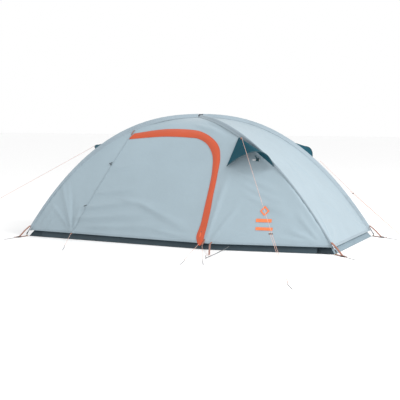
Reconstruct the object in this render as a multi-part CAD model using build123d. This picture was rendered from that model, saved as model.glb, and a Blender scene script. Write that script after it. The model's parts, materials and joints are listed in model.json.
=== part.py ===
"""Low two-person trekking tent: two long poles cross over a fly with one side door.

Millimetres. +Z is up, +X runs along the tent, and the door is on the -Y side.
The origin is on the ground, under the point where the poles cross.
"""

from build123d import *
from math import pi, radians, sin, sqrt, tan
import os

# ---- driving dimensions -------------------------------------------------------------------
LENGTH = 2600.0  # between the feet of the poles, along X
WIDTH = 1110.0  # between the feet of the poles, along Y
HEIGHT = 965.0  # pole axis at the crossing
PLAN_BOW = 0.45  # a smaller value spreads the poles sooner after they cross
PROFILE_POWER = 2.06  # shape of a pole in side view
PROFILE_FULLNESS = 0.98

POLE_R = 4.25
TIP_PIN_R = 3.0
TIP_GAP = 0.8  # between the end of a pole and its tip
TIP_COLLAR = 16.0
TIP_BALL_R = 4.7
POLE_BORE_R = 3.55
POLE_SECTIONS = 9
POLE_FOOT_Z = 34.0
SECTION_GAP = 0.0004  # as a share of the half length
CROSSING_GAP = 1.0
FERRULE_R = 2.9
FERRULE_BORE_R = 2.2
FERRULE_LENGTH = 50.0
SHOCK_CORD_R = 1.6
SLEEVE_R = 9.0
SLEEVE_BORE_R = 7.6
SLEEVE_PIECES = 4  # gathered lengths on each side of the crossing
SLEEVE_WINDOW = 0.06  # share of the half length left open at the crossing

CLOTH = 1.5
FLY_INSET = 11.0  # outer face of the fly, measured inward from the pole axes
FLY_EDGE = 15.0  # from a pole axis to the edge of a fly panel
FLY_SAG = 25.0
HEM_Z = 50.0
TOP_SHARE = 0.06  # where the panels stop, under the crown
INNER_INSET = 46.0
INNER_EDGE = 56.0
INNER_TOP_SHARE = 0.10
INNER_HEM_Z = 112.0
INNER_TRIM_Z = 105.5  # the inner cloth is trimmed level here, just above the floor's walls

PORCH_DEPTH = 150.0  # how far the hem is pulled out by the door pegs
PORCH_TOP_Z = 620.0
PORCH_FOLD_LOW_X = 360.0
PORCH_FOLD_HIGH_X = 420.0
PORCH_FOLD_R = 40.0
PORCH_END_X = 1265.0

SEAM_FOOT = (-848.0, HEM_Z)  # the door's sewn edge, as X and Z
SEAM_HEAD = (-430.0, 812.0)
ZIP_CREST = (-170.0, 843.0)
ZIP_SHOULDER = (80.0, 838.0)
ZIP_TURN = (262.0, 772.0)
ZIP_SIDE = (322.0, 640.0)
ZIP_FOOT = (292.0, HEM_Z)
DOOR_GAP = 2.0
SEAM_AXIS_OUT = 34.0  # the seam bows outward, so its straight axis runs this far outside it
FLAP_WIDTH = 60.0
FLAP_INSET = 1.0
TAPE_WIDTH = 26.0
SLIDER_Z = 120.0
SLIDER_TRAVEL = 200.0

WALL_TOP_Z = 105.0
WALL_LEAN_X = 84.0  # how far a wall leans in from the floor's edge
WALL_LEAN_Y = 46.0
WALL_THICKNESS = 2.0
FLOOR_SHEET = 2.0
FLOOR_SHORT_X = 24.0  # from a pole foot to the floor's edge
FLOOR_SHORT_Y = 15.0
PORCH_FLOOR_DEPTH = 140.0  # the sheet reaches this much further forward, under the hem
PORCH_FLOOR_STATIONS = (-1150, 300, 340, 380, 430, 1150)  # X of the corners of its front edge
PORCH_WALL_TOP_Z = 62.0
PORCH_WALL_LEAN = 24.0

HOOD_LIFT = 12.0  # hood edges stand this far outside the pole surface
BRIM_R = 3.0
PROP_SHORT = 6.0  # a prop stops this far short of the hood
PROP_PIN_R = 2.0
PROP_CLEARANCE = 0.06

CORD_R = 1.25
FLOOR_CORD_R = 2.5
RUNNER_BORE_R = 3.0
RUNNER_START = 30.0  # from the point where the line enters it
LOOP_WIDTH = 10.0  # between the two strands of a guyline below its runner
LOOP_Z = 10.0
LOOP_BEYOND_PEG = 3.9
LOOP_REACH = 9.0  # longest run rounded off at a guyline's corners
PEG_R = 2.0
PEG_LENGTH = 170.0
CORNER_PEG_LENGTH = 120.0
PEG_STUB_Z = 17.0
PEG_BEND_R = 5.0

INNER_DOOR_LEFT_X = -380.0
INNER_DOOR_RIGHT_X = 200.0
INNER_DOOR_LOW_Z = 122.0
INNER_DOOR_HIGH_Z = 740.0

CUT_LOW_Z = -100.0  # cuts through the hem start here
FAR = 1500.0  # longer than any cut that has to go right through


# ---- shape of the tent ---------------------------------------------------------------------
def leg(t):
    """Distances from the centre of a point on a pole: t is 0 at the crossing and 1 at a foot."""
    x = LENGTH / 2 * t
    y = WIDTH / 2 * t * (1 + PLAN_BOW) / (t + PLAN_BOW)
    z = HEIGHT * (1 - min(t, 1) ** PROFILE_POWER) ** PROFILE_FULLNESS
    return x, y, z


def share_at(z):
    """The t of the point on a pole at height z."""
    return (1 - (z / HEIGHT) ** (1 / PROFILE_FULLNESS)) ** (1 / PROFILE_POWER)


def porch(x, z):
    """How far the front of the fly is pulled forward at x and z."""
    rise = (z - HEM_Z) / (PORCH_TOP_Z - HEM_Z)
    fade = (1 - rise + sqrt((1 - rise) ** 2 + 0.05**2)) / 2
    fold_x = PORCH_FOLD_LOW_X + (PORCH_FOLD_HIGH_X - PORCH_FOLD_LOW_X) * rise
    away = x - fold_x
    reach = PORCH_END_X + fold_x if away < 0 else PORCH_END_X - fold_x
    slope = (sqrt(away**2 + PORCH_FOLD_R**2) - PORCH_FOLD_R) / reach
    return PORCH_DEPTH * fade * max(0.0, 1 - slope)


def sag(t, u):
    return FLY_SAG * (1 - u * u) * sin(pi * t)


def front(t, u):
    x, y, z = leg(t)
    return Vector(u * x, -(y - sag(t, u) + porch(u * x, z)), z)


def inner_front(t, u):
    x, y, z = leg(t)
    return Vector(u * x, -(y - sag(t, u)), z)


def back(t, u):
    x, y, z = leg(t)
    return Vector(u * x, y - sag(t, u), z)


def right_end(t, u):
    x, y, z = leg(t)
    return Vector(x - sag(t, u), u * y, z)


def left_end(t, u):
    x, y, z = leg(t)
    return Vector(-(x - sag(t, u)), u * y, z)


def inset_point(side, t, u, inset):
    """The point at t, u on a side of the tent, moved inward along the cloth's normal."""
    step = 1e-3
    across = side(t, u + step) - side(t, u - step)
    down = side(t + step, u) - side(t - step, u)
    normal = across.cross(down).normalized()
    here = side(t, u)
    if normal.dot(here - Vector(0, 0, HEIGHT / 3)) < 0:
        normal = -normal
    return here - normal * inset


def edge_share(side, t, edge):
    """The u at which a panel stops, so that its edge stays this far from the pole axis."""
    step = 1e-3
    tangent = Vector(*leg(t + step)) - Vector(*leg(t - step))
    along_x = side in (front, inner_front, back)
    ruling = Vector(1, 0, 0) if along_x else Vector(0, 1, 0)
    half = leg(t)[0] if along_x else leg(t)[1]
    angle = radians(tangent.get_angle(ruling))
    return 1 - edge / sin(angle) / half


def panel(side, inset, edge, top_share, low_z, rows=24, columns=32):
    """A sheet of cloth under one side of the poles, as a thin solid."""
    last = share_at(low_z)
    grid = []
    for i in range(rows + 1):
        t = top_share + (last - top_share) * i / rows
        limit = edge_share(side, t, edge)
        grid.append([
            inset_point(side, t, limit * (2 * j / columns - 1), inset) for j in range(columns + 1)
        ])
    face = Face.make_surface_from_array_of_points(grid, tol=0.3)
    middle = face.center()
    outward = face.normal_at(middle).dot(middle - Vector(0, 0, HEIGHT / 3)) > 0
    return Solid.thicken(face, -CLOTH if outward else CLOTH)


def surface_y(side, x, z, inset):
    """The Y of a front or back sheet at x and z."""
    t = share_at(z)
    for _ in range(4):
        found = inset_point(side, t, x / leg(t)[0], inset)
        t = share_at(min(HEIGHT - 3, max(1.0, z + leg(t)[2] - found.Z)))
    return inset_point(side, t, x / leg(t)[0], inset).Y


def through_front(sketch_face, behind=False):
    """A sketch in X and Z, extended through the front or the back of the tent."""
    solid = extrude(sketch_face, amount=FAR, dir=(0, -1, 0))
    return mirror(solid, about=Plane.XZ) if behind else solid


def xz(points):
    """Points given as X and Z, on the plane Y = 0."""
    return [Vector(x, 0, z) for x, z in points]


# ---- output --------------------------------------------------------------------------------
def solids_of(shape):
    if isinstance(shape, (list, tuple)):
        return [s for item in shape for s in solids_of(item)]
    return list(shape.solids())


def save(name, *shapes):
    solids = solids_of(shapes)
    export_step(Compound(children=solids) if len(solids) > 1 else solids[0], f"parts/{name}.step")


# ---- poles ---------------------------------------------------------------------------------
def pole_point(s, y_sign, lift):
    """A point on a pole's axis: s runs from -1 at one foot to 1 at the other."""
    x, y, z = leg(abs(s))
    side = 1 if s >= 0 else -1
    return Vector(side * x, side * y_sign * y, z * (HEIGHT + lift) / HEIGHT)


def even_stations(y_sign, lift, count):
    """Values of s that divide a pole into equal lengths."""
    foot = share_at(POLE_FOOT_Z)
    fine = [foot * (2 * i / 400 - 1) for i in range(401)]
    points = [pole_point(s, y_sign, lift) for s in fine]
    run = [0.0]
    for a, b in zip(points, points[1:]):
        run.append(run[-1] + (b - a).length)
    stations = []
    for k in range(count + 1):
        wanted = run[-1] * k / count
        i = min(range(len(run)), key=lambda j: abs(run[j] - wanted))
        stations.append(fine[i])
    return stations, run[-1]


def pole_slope(s, y_sign, lift):
    """The pole's change of place for each unit of s."""
    step = 1e-3
    return (pole_point(s + step, y_sign, lift) - pole_point(s - step, y_sign, lift)) / (2 * step)


def pole_arc(s0, s1, y_sign, lift):
    """A smooth curve along part of a pole, with the pole's own direction at both ends."""
    start, end = pole_point(s0, y_sign, lift), pole_point(s1, y_sign, lift)
    reach = (s1 - s0) / 3
    leave = start + pole_slope(s0, y_sign, lift) * reach
    arrive = end - pole_slope(s1, y_sign, lift) * reach
    return Bezier(start, leave, arrive, end)


def rod(path, radius):
    start = Plane(origin=path @ 0, z_dir=path % 0)
    return sweep(start * Circle(radius), path=path).solids()[0]


def tube(path, radius, bore_radius):
    return (rod(path, radius) - rod(path, bore_radius)).solids()[0]


def build_pole(y_sign, lift):
    """Tubes, ferrules, shock cord and tips of one pole."""
    stations, length = even_stations(y_sign, lift, POLE_SECTIONS)
    tubes, ferrules, cords = [], [], []
    for s0, s1 in zip(stations, stations[1:]):
        path = pole_arc(s0 + SECTION_GAP, s1 - SECTION_GAP, y_sign, lift)
        tubes.append(tube(path, POLE_R, POLE_BORE_R))
        cords.append(rod(path, SHOCK_CORD_R))
    for s in stations[1:-1]:
        middle = pole_point(s, y_sign, lift)
        way = pole_slope(s, y_sign, lift).normalized()
        plane = Plane(origin=middle - way * FERRULE_LENGTH / 2, z_dir=way)
        ring = Circle(FERRULE_R) - Circle(FERRULE_BORE_R)
        ferrules.append(extrude(plane * ring, amount=FERRULE_LENGTH).solids()[0])
    tips = [pole_tip(stations[0], -1, y_sign, lift), pole_tip(stations[-1], 1, y_sign, lift)]
    print(f"pole length {length:.0f}, section {length / POLE_SECTIONS:.0f}")
    return tubes, ferrules, cords, tips


def pole_tip(s, outward, y_sign, lift):
    """A moulded tip: a collar on the end of the pole and a pin that stands in the grommet."""
    end = pole_point(s, y_sign, lift)
    way = (end - pole_point(s - outward * 0.01, y_sign, lift)).normalized()
    start = end + way * TIP_GAP
    collar = extrude(Plane(origin=start, z_dir=way) * Circle(POLE_R), amount=TIP_COLLAR)
    knee = start + way * TIP_COLLAR
    ball = Pos(*knee) * Sphere(TIP_BALL_R)
    pin = Pos(knee.X, knee.Y, 1.0) * Cylinder(
        TIP_PIN_R, knee.Z - 1.0, align=(Align.CENTER, Align.CENTER, Align.MIN)
    )
    return (collar + ball + pin).solids()[0]


def tip_centre(x_sign, y_sign):
    """Where the pin of a pole tip stands on the ground."""
    foot = share_at(POLE_FOOT_Z)
    end = pole_point(foot, 1, 0)
    way = (end - pole_point(foot - 0.01, 1, 0)).normalized()
    knee = end + way * (TIP_GAP + TIP_COLLAR)
    return knee.X * x_sign, knee.Y * y_sign


def sleeve(y_sign, lift):
    """Cloth tunnels for one pole, one on each side of the crossing."""
    foot = share_at(95.0)
    pieces = []
    for side in (-1, 1):
        for k in range(SLEEVE_PIECES):
            a, b = [SLEEVE_WINDOW + (foot - SLEEVE_WINDOW) * j / SLEEVE_PIECES for j in (k, k + 1)]
            s0, s1 = sorted((side * a, side * b))
            pieces.append(tube(pole_arc(s0, s1, y_sign, lift), SLEEVE_R, SLEEVE_BORE_R))
    return pieces


def build_poles():
    rise = 2 * POLE_R + CROSSING_GAP
    tubes_a, ferrules_a, cords_a, tips_a = build_pole(-1, 0.0)
    tubes_b, ferrules_b, cords_b, tips_b = build_pole(1, rise)
    save("pole_a_tubes", tubes_a)
    save("pole_b_tubes", tubes_b)
    save("pole_ferrules", ferrules_a, ferrules_b)
    save("pole_shock_cords", cords_a, cords_b)
    save("pole_tips", tips_a, tips_b)
    save("pole_sleeves", sleeve(-1, 0.0), sleeve(1, rise))
    over = HEIGHT + rise + POLE_R + 1.4
    tie = Pos(0, 0, over) * Box(44, 30, CLOTH)
    save("crossing_tie", fillet(tie.edges().filter_by(Axis.Z), 8))


# ---- fly -----------------------------------------------------------------------------------
def zip_line():
    """The line of the zip: along the top of the door, down its right edge and on past the hem."""
    top = ThreePointArc(*xz([SEAM_HEAD, ZIP_CREST, ZIP_SHOULDER]))
    shoulder = ThreePointArc(*xz([ZIP_SHOULDER, ZIP_TURN, ZIP_SIDE]))
    side = Line(*xz([ZIP_SIDE, (zip_x(CUT_LOW_Z), CUT_LOW_Z)]))
    return [top, shoulder, side]


def seam_x(z):
    """X of the door's sewn edge at height z."""
    slope = (SEAM_HEAD[0] - SEAM_FOOT[0]) / (SEAM_HEAD[1] - SEAM_FOOT[1])
    return SEAM_FOOT[0] + slope * (z - SEAM_FOOT[1])


def zip_x(z):
    """X of the zip on its straight side run, at height z."""
    slope = (ZIP_SIDE[0] - ZIP_FOOT[0]) / (ZIP_SIDE[1] - ZIP_FOOT[1])
    return ZIP_FOOT[0] + slope * (z - ZIP_FOOT[1])


def door_outline():
    """The door as a face in X and Z, drawn down past the hem."""
    top, shoulder, side = zip_line()
    edges = [
        top,
        shoulder,
        side,
        Line(*xz([(zip_x(CUT_LOW_Z), CUT_LOW_Z), (seam_x(CUT_LOW_Z), CUT_LOW_Z)])),
        Line(*xz([(seam_x(CUT_LOW_Z), CUT_LOW_Z), SEAM_HEAD])),
    ]
    return make_face(Wire(edges))


def band(width):
    """A strip of this width along the zip, with round ends."""
    return make_face(Wire(zip_line()).offset_2d(width / 2, kind=Kind.ARC, side=Side.BOTH))


def seam_strip(width):
    """A strip of this width along the door's sewn edge."""
    low, high = CUT_LOW_Z, SEAM_HEAD[1]
    corners = [
        (seam_x(low) - width / 2, low),
        (seam_x(low) + width / 2, low),
        (seam_x(high) + width / 2, high),
        (seam_x(high) - width / 2, high),
    ]
    return make_face(Polyline(*xz(corners), close=True))


def right_of_seam():
    """Everything on the door's side of its sewn edge, as a face in X and Z."""
    corners = [(seam_x(CUT_LOW_Z), CUT_LOW_Z), (FAR, CUT_LOW_Z), (FAR, 950.0), (seam_x(950.0), 950.0)]
    return make_face(Polyline(*xz(corners), close=True))


def box_between(low, high):
    size = [b - a for a, b in zip(low, high)]
    middle = [(a + b) / 2 for a, b in zip(low, high)]
    return Pos(*middle) * Box(*size)


def build_fly():
    sheet = panel(front, FLY_INSET, FLY_EDGE, TOP_SHARE, HEM_Z)
    opening = through_front(door_outline())
    gap = [through_front(band(2 * DOOR_GAP)), through_front(seam_strip(2 * DOOR_GAP))]
    door = (sheet & opening) - gap[0] - gap[1]
    rest = sheet - opening - gap[0] - gap[1]
    vent_cut = through_front(vent_window())
    mesh_front = rest & through_front(vent_window(-1.0))
    rest = rest - vent_cut
    left_x, right_x = SEAM_HEAD[0], ZIP_SIDE[0] - 40
    save("fly_door", door)
    save("fly_front_left", rest & box_between((-FAR, -FAR, 0), (left_x, 0, FAR)))
    save("fly_front_top", rest & box_between((left_x, -FAR, 700), (right_x, 0, FAR)))
    save("fly_front_right", rest & front_right_region(left_x, right_x))

    rear = panel(back, FLY_INSET, FLY_EDGE, TOP_SHARE, HEM_Z)
    mesh_back = rear & through_front(vent_window(-1.0), behind=True)
    save("fly_back", rear - through_front(vent_window(), behind=True))

    left = panel(left_end, FLY_INSET, FLY_EDGE, TOP_SHARE, HEM_Z)
    mesh_end = left & end_window(-1.0)
    save("fly_end_left", left - end_window())
    save("fly_end_right", panel(right_end, FLY_INSET, FLY_EDGE, TOP_SHARE, HEM_Z))
    save("vent_meshes", mesh_front, mesh_back, mesh_end)

    half_x = leg(TOP_SHARE)[0] - 8
    half_y = leg(TOP_SHARE)[1] - 6
    crown = Pos(0, 0, leg(TOP_SHARE)[2] - FLY_INSET - 3) * Box(2 * half_x, 2 * half_y, CLOTH)
    save("fly_crown", fillet(crown.edges().filter_by(Axis.Z), 20))

    flap_sheet = panel(front, FLAP_INSET, FLY_EDGE, TOP_SHARE, HEM_Z)
    save("zip_flap", flap_sheet & through_front(band(FLAP_WIDTH)) & through_front(right_of_seam()))
    tape_sheet = panel(front, FLY_INSET + CLOTH + 1.5, FLY_EDGE, TOP_SHARE, HEM_Z)
    save("zip_tape", tape_sheet & through_front(band(TAPE_WIDTH)))


def front_right_region(left_x, right_x):
    """What is right of the door: beside its top corner and all the way down its side."""
    beside = box_between((right_x, -FAR, 0), (FAR, 0, FAR))
    under = box_between((left_x, -FAR, 0), (right_x, 0, 700))
    return beside + under


# ---- zip slider ----------------------------------------------------------------------------
def zip_place(z, inset=FLY_INSET):
    return Vector(zip_x(z), surface_y(front, zip_x(z), z, inset), z)


def build_slider():
    """A slider between the flap and the door, with a pull that swings under it."""
    start, end = zip_place(SLIDER_Z), zip_place(SLIDER_Z + SLIDER_TRAVEL)
    way = (end - start).normalized()
    outward = Vector(0, -1, 0) - way * way.dot(Vector(0, -1, 0))
    place = Plane(origin=start + outward.normalized() * 1.4, x_dir=way, z_dir=outward)
    body = Pos(0, 0, 1.6) * Box(18, 11, 2.6)
    body = fillet(body.edges().filter_by(Axis.Z), 3)
    boss = Pos(-5, 0, 2.9) * Cylinder(1.5, 3.0, align=(Align.CENTER, Align.CENTER, Align.MIN))
    save("zip_slider", place * (body + boss))
    tab = Pos(-17, 0, 4.6) * Box(34, 8, 1.6)
    tab = fillet(tab.edges().filter_by(Axis.Z), 3)
    bore = Pos(-5, 0, 3) * Cylinder(1.56, 10)
    save("zip_pull", place * (tab - bore))
    pin = place.from_local_coords(Vector(-5, 0, 4.6))
    report("zip_slide", axis=way)
    report("zip_pull_swing", pos=pin, axis=outward.normalized())


def report(name, **values):
    """Print where a joint is, in metres for places, so that the record can say it."""
    for key, vector in values.items():
        scale = 1000 if key == "pos" else 1
        print(name, key, [round(v / scale, 5) for v in vector])


# ---- vents ---------------------------------------------------------------------------------
VENT_APEX = (482.0, 812.0)  # X and Z on the front of the fly
VENT_LEFT = (417.0, 600.0)
VENT_RIGHT = (786.0, 606.0)
BRIM_MIDDLE = Vector(691, -554, 716)
END_APEX_Z = 835.0
END_TIP_Y = 235.0
END_TIP_Z = 640.0
END_BRIM_MIDDLE = Vector(-940, 0, 722)


def vent_window(shift=0.0):
    """The mesh opening under a side hood, as a face in X and Z."""
    corners = [(515.0, 770.0), (470.0, 655.0), (735.0, 650.0)]
    face = make_face(Polyline(*xz(corners), close=True))
    return offset(face, amount=shift, kind=Kind.INTERSECTION) if shift else face


def end_window(shift=0.0):
    """The mesh opening under the end hood, as a solid through the left end."""
    corners = [Vector(0, 0, 790), Vector(0, -150, 680), Vector(0, 150, 680)]
    face = make_face(Polyline(*corners, close=True))
    face = offset(face, amount=shift, kind=Kind.INTERSECTION) if shift else face
    return extrude(face, amount=FAR, dir=(-1, 0, 0))


def on_front(x, z):
    """A point just outside the front of the fly."""
    return Vector(x, surface_y(front, x, z, -HOOD_LIFT + FLY_INSET), z)


def side_hood_corners():
    return on_front(*VENT_APEX), on_front(*VENT_LEFT), BRIM_MIDDLE, on_front(*VENT_RIGHT)


def end_hood_corners():
    apex = inset_point(left_end, share_at(END_APEX_Z), 0, -HOOD_LIFT + FLY_INSET)
    t = share_at(END_TIP_Z)
    tips = [
        inset_point(left_end, t, sign * END_TIP_Y / leg(t)[1], -HOOD_LIFT + FLY_INSET)
        for sign in (-1, 1)
    ]
    return apex, tips[0], END_BRIM_MIDDLE, tips[1]


def brim_point(w, first, middle, last):
    """A point on the bowed brim: w is -1 at the first tip, 0 in the middle and 1 at the last."""
    return first * (w * (w - 1) / 2) + middle * (1 - w * w) + last * (w * (w + 1) / 2)


def hood(apex, first, middle, last, rows=6, columns=16):
    """A cloth hood that spreads from its apex to a stiff bowed brim."""
    grid = []
    for i in range(rows + 1):
        v = 0.08 + 0.87 * i / rows
        grid.append([
            apex + (brim_point(2 * j / columns - 1, first, middle, last) - apex) * v
            for j in range(columns + 1)
        ])
    face = Face.make_surface_from_array_of_points(grid, tol=0.2)
    return Solid.thicken(face, CLOTH)


def brim(first, middle, last):
    path = Bezier(first, middle * 2 - (first + last) / 2, last)
    return rod(path, BRIM_R)


def prop(base, tip, side_way):
    """A stay that folds on a pin, and the two-eared base that carries the pin."""
    way = (tip - base).normalized()
    across = (side_way - way * way.dot(side_way)).normalized()
    place = Plane(origin=base, x_dir=way, z_dir=across)
    length = (tip - base).length - PROP_SHORT
    stay = Pos(length / 2, 0, 0) * Box(length, 8, 4)
    eye = Cylinder(4.5, 4)
    bore = Cylinder(PROP_PIN_R + PROP_CLEARANCE, 10)
    arm = place * (stay + eye - bore)
    pin = Cylinder(PROP_PIN_R, 12)
    ears = [Pos(0, 0, z) * Cylinder(4.5, 2) for z in (-4.5, 4.5)]
    foot = [Pos(-7, 0, z) * Box(8, 9, 2) for z in (-4.5, 4.5)]
    plate = Pos(-12, 0, 0) * Box(2.4, 24, 22)
    return arm, place * (pin + ears[0] + ears[1] + foot[0] + foot[1] + plate), across


def build_vents():
    corners = side_hood_corners()
    rear_corners = [Vector(p.X, -p.Y, p.Z) for p in corners]
    end_corners = end_hood_corners()
    brims, bases = [], []
    base_front = Vector(655, surface_y(front, 655, 655, FLY_INSET) - 20, 655)
    sets = {
        "front": (corners, base_front),
        "back": (rear_corners, Vector(base_front.X, -base_front.Y, base_front.Z)),
        "end": (end_corners, inset_point(left_end, share_at(660), 0, FLY_INSET - 24)),
    }
    for name, (points, base) in sets.items():
        apex, first, middle, last = points
        save(f"vent_hood_{name}", hood(apex, first, middle, last))
        brims.append(brim(first, middle, last))
        tip = middle * 0.72 + (first + last) * 0.14
        side_way = (last - first).normalized()
        arm, foot, across = prop(base, tip, side_way)
        save(f"vent_prop_{name}", arm)
        bases.append(foot)
        report(f"vent_prop_{name}", pos=base, axis=across)
    save("vent_brims", brims)
    save("vent_prop_bases", bases)


# ---- door toggles --------------------------------------------------------------------------
def build_toggles():
    """Toggles that hold the rolled door, on short loops left of its seam."""
    pieces = []
    for z in (600.0, 268.0):
        x = seam_x(z) - 14
        y = surface_y(front, x, z, FLY_INSET)
        pieces.append(Pos(x, y - 9, z) * Rot(0, 70, 0) * Cylinder(3.5, 26))
        lowest = surface_y(front, x, z - 17, FLY_INSET)
        pieces.append(Pos(x, min(y - 4.5, lowest - 2.5), z - 12) * Box(12, 1.0, 10))
    save("door_toggles", pieces)


# ---- inner tent ----------------------------------------------------------------------------
def inner_door_outline(shift=0.0):
    left, right = INNER_DOOR_LEFT_X, INNER_DOOR_RIGHT_X
    low, high = INNER_DOOR_LOW_Z, INNER_DOOR_HIGH_Z
    face = make_face(Polyline(*xz([(left, low), (right, low), (right, high), (left, high)]), close=True))
    corners = face.vertices().group_by(Axis.Z)[-1]
    face = fillet(corners, 180)
    return offset(face, amount=shift, kind=Kind.INTERSECTION) if shift else face


def build_inner():
    below = box_between((-FAR, -FAR, 0), (FAR, FAR, INNER_TRIM_Z))
    front_sheet, back_sheet, left_sheet, right_sheet = [
        panel(side, INNER_INSET, INNER_EDGE, INNER_TOP_SHARE, INNER_HEM_Z) - below
        for side in (inner_front, back, left_end, right_end)
    ]
    save("inner_door", front_sheet & through_front(inner_door_outline(-DOOR_GAP / 2)))
    save("inner_front", front_sheet - through_front(inner_door_outline(DOOR_GAP)))
    save("inner_back", back_sheet)
    save("inner_ends", left_sheet, right_sheet)
    x, y, z = leg(INNER_TOP_SHARE)
    crown = Pos(0, 0, z - INNER_INSET - 4) * Box(2 * x - 30, 2 * y - 20, CLOTH)
    save("inner_crown", fillet(crown.edges().filter_by(Axis.Z), 30))
    hinge_y = surface_y(inner_front, INNER_DOOR_LEFT_X, INNER_DOOR_HIGH_Z, INNER_INSET) + CLOTH + 3
    report("inner_door_hinge", pos=Vector(INNER_DOOR_LEFT_X, hinge_y, INNER_DOOR_LOW_Z))


def leaning_box(half_x, half_y):
    """A block as tall as the floor's walls, with sides that lean in as they do."""
    foot = Pos(0, 0, FLOOR_SHEET + 0.1) * Rectangle(2 * half_x, 2 * half_y)
    head = Pos(0, 0, WALL_TOP_Z) * Rectangle(2 * (half_x - WALL_LEAN_X), 2 * (half_y - WALL_LEAN_Y))
    return loft([foot, head])


def porch_floor_y(x):
    """Y of the floor's front edge, which is cut to follow the hem of the fly."""
    return -(WIDTH / 2 - FLOOR_SHORT_Y + porch(x, HEM_Z) * PORCH_FLOOR_DEPTH / PORCH_DEPTH)


def porch_wall():
    """A low wall along the floor's front edge, under the hem of the fly."""
    loops = []
    for z, lean in ((FLOOR_SHEET + 0.1, 0.0), (PORCH_WALL_TOP_Z, PORCH_WALL_LEAN)):
        outer = [Vector(x, porch_floor_y(x) + lean, z) for x in PORCH_FLOOR_STATIONS]
        inner = [p + Vector(0, WALL_THICKNESS, 0) for p in reversed(outer)]
        loops.append(make_face(Polyline(*outer, *inner, close=True)))
    return loft(loops)


def build_floor():
    """A ground sheet with four walls that lean in to meet the inner canopy."""
    half_x, half_y = LENGTH / 2 - FLOOR_SHORT_X, WIDTH / 2 - FLOOR_SHORT_Y
    outline = [(half_x, half_y), (-half_x, half_y), (-half_x, -half_y)]
    outline += [(x, porch_floor_y(x)) for x in PORCH_FLOOR_STATIONS] + [(half_x, -half_y)]
    save("ground_sheet", extrude(make_face(Polyline(*outline, close=True)), amount=FLOOR_SHEET))
    ring = leaning_box(half_x, half_y) - leaning_box(half_x - WALL_THICKNESS, half_y - WALL_THICKNESS)
    mitre = WALL_LEAN_Y / WALL_LEAN_X
    apex = half_x - half_y / mitre
    far = [(apex + FAR, FAR * mitre), (apex + FAR, -FAR * mitre)]
    wedge = extrude(make_face(Polyline((apex, 0), *far, close=True)), amount=FAR)
    right = ring & wedge
    left = mirror(right, about=Plane.YZ)
    sides = ring - wedge - mirror(wedge, about=Plane.YZ)
    save("floor_wall_right", right)
    save("floor_wall_left", left)
    tub_front = sides & box_between((-FAR, -FAR, 0), (FAR, 0, FAR))
    save("floor_wall_front", tub_front, porch_wall())
    save("floor_wall_back", sides & box_between((-FAR, 0, 0), (FAR, FAR, FAR)))


# ---- pegging out ---------------------------------------------------------------------------
def peg(place, heading, length=PEG_LENGTH):
    """A wire peg that lies on the ground, with its hooked end turned up at place."""
    path = FilletPolyline((0, 0, PEG_STUB_Z), (0, 0, PEG_R + 0.1), (length, 0, PEG_R + 0.1), radius=PEG_BEND_R)
    return Pos(place[0], place[1], 0) * Rot(0, 0, heading) * rod(path, PEG_R)


CORNERS = {  # signs of X and Y, and the direction in which the corner is pegged out
    "front_right": (1, -1, -45.0),
    "front_left": (-1, -1, -98.0),
    "back_right": (1, 1, -32.0),
    "back_left": (-1, 1, 135.0),
}


HEM_STRAP = (Vector(391, -716, 45), Vector(490, -962, 9))  # from the hem to the ground


def hem_strap():
    """A strap that holds the fly's hem down beside the door."""
    start, end = HEM_STRAP
    way = (end - start).normalized()
    place = Plane(origin=(start + end) / 2, x_dir=way, z_dir=Vector(0, 0, 1) - way * way.Z)
    return place * Box((end - start).length, 12, 1.2)


def build_corners():
    rings, straps, buckles, pegs = [], [], [], []
    for x_sign, y_sign, heading in CORNERS.values():
        x, y = tip_centre(x_sign, y_sign)
        place = Pos(x, y, 0) * Rot(0, 0, heading)
        hole = Cylinder(6.2, 20)
        tab = Pos(33.5, 0, 3.4) * Box(87, 22, 1.2) - hole
        straps.append(place * tab)
        ring = Pos(0, 0, 5.0) * Cylinder(8.5, 1.8) - Cylinder(TIP_PIN_R + 0.6, 20)
        rings.append(place * ring)
        frame = Pos(96, 0, 4.4) * Box(34, 30, 5)
        frame = fillet(frame.edges().filter_by(Axis.Z), 4)
        for shift in (-9, 0, 9):
            frame = frame - Pos(96 + shift, 0, 4.4) * Box(4.5, 22, 10)
        buckles.append(place * frame)
        loop = Pos(132, 0, 5.8) * Box(36, 14, 1.2) - Pos(142, 0, 5.8) * Cylinder(PEG_R + 1.8, 4)
        straps.append(place * loop)
        spot = place.position + Vector(142, 0, 0).rotate(Axis.Z, heading)
        pegs.append(peg((spot.X, spot.Y), heading, CORNER_PEG_LENGTH))
    straps.append(hem_strap())
    save("corner_grommets", rings)
    save("corner_straps", straps)
    save("corner_buckles", buckles)
    save("corner_pegs", pegs)


# Routes of the cords, from where each leaves the tent to its peg.
GUYLINES = {  # start at the tent, and the point where the line enters its runner
    "front": ((520, -425, 812), (1086, -1369, 250)),
    "left": ((-956, 0, 718), (-1930, -240, 178)),
    "right": ((850, 494, 602), (1110, 482, 366)),
}
ROUTES = {
    "door_cord": [(300, -714, 41), (366, -985, 26), (426, -1240, 9)],
    "fly_cord": [(330, -716, 41), (436, -960, 26), (540, -1190, 9)],
    "seam_cord": [(-846, -604, 44), (-758, -800, 25), (-670, -985, 9)],
    "floor_cord": [(522, -670, 31), (524, -860, 13), (529, -1106, 10)],
}
PEG_PLACES = {
    "guy_peg_front": (1345, -1799, -62.0),
    "guy_peg_left": (-2256, -316, 250.0),
    "guy_peg_right": (1548, 464, -80.0),
    "door_peg": (430, -1247, -76.0),
    "fly_peg": (543, -1197, -65.0),
    "seam_peg": (-666, -991, -64.0),
    "floor_peg": (529, -1113, 113.0),
}


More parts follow.
